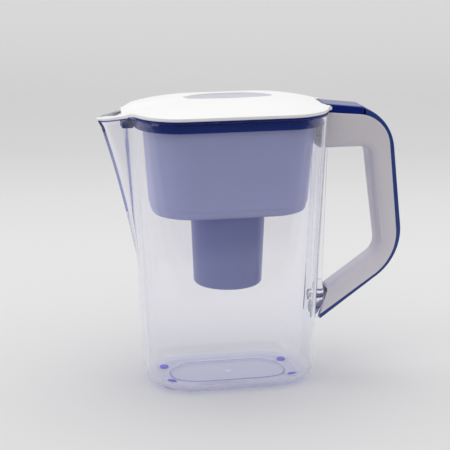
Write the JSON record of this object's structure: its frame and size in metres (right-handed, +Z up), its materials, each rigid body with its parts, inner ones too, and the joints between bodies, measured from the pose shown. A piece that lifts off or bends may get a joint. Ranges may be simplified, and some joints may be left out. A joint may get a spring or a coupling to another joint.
{
  "type": "water filter pitcher",
  "caption": "Clear pitcher with spout, flip lid, lift-out hopper with filter socket, drop-in cartridge and a handle with a thumb lever.",
  "frame": {"origin": "centre of the base on the plane of its four feet", "axes": "+Z up, +X towards the handle, spout towards -X, +Y across the width"},
  "size_m": [0.2556, 0.1046, 0.2411],
  "materials": {
    "clear_plastic": "clear, polished",
    "blue_rubber": "soft, satin",
    "white_plastic": "satin",
    "blue_plastic": "satin",
    "navy_plastic": "polished",
    "steel": "plain",
    "tinted_plastic": "translucent, polished",
    "lid_plastic": "satin",
    "grey_plastic": "satin",
    "cartridge_plastic": "moulded",
    "seal_rubber": "soft",
    "screen_mesh": "woven mesh",
    "carbon": "granules",
    "resin": "beads"
  },
  "bodies": {
    "jug": {"jug_body": "clear_plastic", "base_feet": "blue_rubber", "handle_shell": "white_plastic", "handle_strip": "blue_plastic", "handle_screws": "steel", "lever_pin": "steel", "lever_spring": "steel"},
    "lever": {"thumb_lever": "navy_plastic"},
    "hopper": {"hopper": "tinted_plastic", "hinge_pins": "steel"},
    "lid": {"lid_shell": "lid_plastic", "lid_inlay": "grey_plastic"},
    "cartridge": {"cartridge_shell": "cartridge_plastic", "cartridge_cap": "cartridge_plastic", "cartridge_seal": "seal_rubber", "inlet_screen": "screen_mesh", "outlet_screen": "screen_mesh", "carbon_bed": "carbon", "resin_bed": "resin"}
  },
  "joints": [
    {"name": "hopper_lift", "type": "slide", "parent": "jug", "child": "hopper", "axis": [0, 0, 1], "range_m": [0, 0.15]},
    {"name": "lid_flip", "type": "hinge", "parent": "hopper", "child": "lid", "pos_m": [0.08135, 0, 0.2312], "axis": [0, 1, 0], "range_deg": [0, 85]},
    {"name": "lever_press", "type": "hinge", "parent": "jug", "child": "lever", "pos_m": [0.093, 0, 0.221], "axis": [0, 1, 0], "range_deg": [0, 4], "stiffness_Nm_per_rad": 0.05},
    {"name": "cartridge_lift", "type": "slide", "parent": "hopper", "child": "cartridge", "axis": [0, 0, 1], "range_m": [0, 0.055]}
  ],
  "couplings": [
    {"joint": "lever_press", "follows": "lid_flip", "ratio": 0.047}
  ]
}
